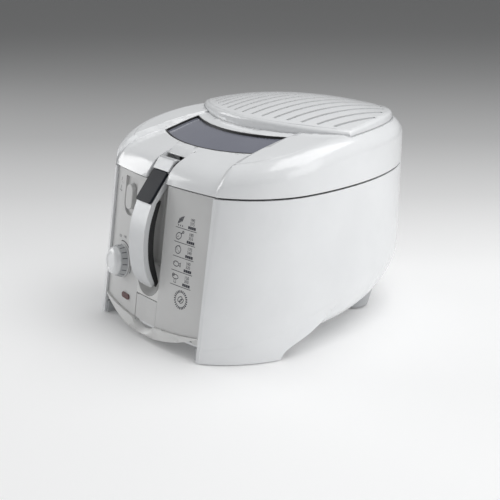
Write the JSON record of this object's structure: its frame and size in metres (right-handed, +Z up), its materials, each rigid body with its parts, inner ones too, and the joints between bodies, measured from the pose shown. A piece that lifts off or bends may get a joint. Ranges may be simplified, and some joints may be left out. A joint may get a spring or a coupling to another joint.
{
  "type": "deep fryer",
  "caption": "Compact cool-wall deep fryer with a hinged lid, viewing window, filter cover, folding basket handle, thermostat knob and front oil drain door.",
  "frame": {"origin": "on the floor under the middle of the fryer", "axes": "+Z up, the front with the controls faces -Y, +X to the right seen from the front"},
  "size_m": [0.282, 0.3491, 0.2325],
  "materials": {
    "white_gloss": "glossy",
    "panel_grey": "satin",
    "silver": "satin",
    "charcoal": "satin",
    "black": "matt",
    "grey": "matt",
    "rubber": "matt",
    "steel": "brushed",
    "coating": "satin",
    "inner": "matt",
    "glass": "tinted",
    "red_lens": "clear",
    "foam": "open"
  },
  "bodies": {
    "base": {"outer_shell": "white_gloss", "inlet_gland": "grey", "base_plate": "grey", "foot_blocks": "grey", "foot_pads": "rubber", "base_screws": "steel", "control_panel": "panel_grey", "guide_panel": "panel_grey", "button_bezel": "panel_grey", "pilot_lens": "red_lens", "pilot_lamp": "red_lens", "thermostat": "inner", "handle_channel": "panel_grey", "front_rim": "panel_grey", "door_pins": "steel", "deck_ring": "inner", "bowl": "coating", "drain_spout": "steel", "heating_element": "steel", "drain_hose": "rubber", "hose_plug": "rubber", "handle_bracket": "black", "handle_pin": "steel", "hinge_bracket": "grey", "hinge_pin": "steel"},
    "lid": {"lid_shell": "white_gloss", "lid_liner": "inner", "lid_seal": "rubber", "window_frame": "black", "window_glass": "glass", "filter_tray": "inner", "carbon_filter": "foam", "foam_filter": "foam", "latch_hook": "steel", "lid_screws": "steel"},
    "cover": {"filter_cover": "white_gloss"},
    "handle": {"handle_lever": "silver", "grip_underside": "black"},
    "slider": {"handle_slider": "charcoal"},
    "basket": {"basket": "steel", "basket_hanger": "steel"},
    "knob": {"knob": "white_gloss", "knob_band": "grey"},
    "button": {"lid_button": "panel_grey", "button_stem": "black"},
    "door": {"drain_door": "panel_grey"}
  },
  "joints": [
    {"name": "lid_hinge", "type": "hinge", "parent": "base", "child": "lid", "pos_m": [0, 0.1718, 0.167], "axis": [-1, 0, 0], "range_deg": [0, 80]},
    {"name": "cover_hinge", "type": "hinge", "parent": "lid", "child": "cover", "pos_m": [0, 0.1545, 0.213], "axis": [-1, 0, 0], "range_deg": [0, 60]},
    {"name": "handle_lift", "type": "hinge", "parent": "base", "child": "handle", "pos_m": [0, -0.126, 0.18], "axis": [-1, 0, 0], "range_deg": [0, 85]},
    {"name": "slider_slide", "type": "slide", "parent": "handle", "child": "slider", "axis": [0, -0.623, -0.7822], "range_m": [0, 0.005], "stiffness_N_per_m": 300, "springref_m": -0.002},
    {"name": "basket_lift", "type": "slide", "parent": "base", "child": "basket", "axis": [0, 0, 1], "range_m": [0, 0.025]},
    {"name": "knob_turn", "type": "hinge", "parent": "base", "child": "knob", "pos_m": [-0.058, -0.15426, 0.0684], "axis": [-0.1211, -0.9817, 0.1472], "range_deg": [0, 260]},
    {"name": "button_press", "type": "slide", "parent": "base", "child": "button", "axis": [0, 1, 0], "range_m": [0, 0.003], "stiffness_N_per_m": 300},
    {"name": "door_hinge", "type": "hinge", "parent": "base", "child": "door", "pos_m": [-0.0178, -0.16161, 0.031], "axis": [0, -0.1483, -0.9889], "range_deg": [0, 90]}
  ],
  "couplings": [
    {"joint": "basket_lift", "follows": "handle_lift", "m_per_rad": 0.016843}
  ]
}
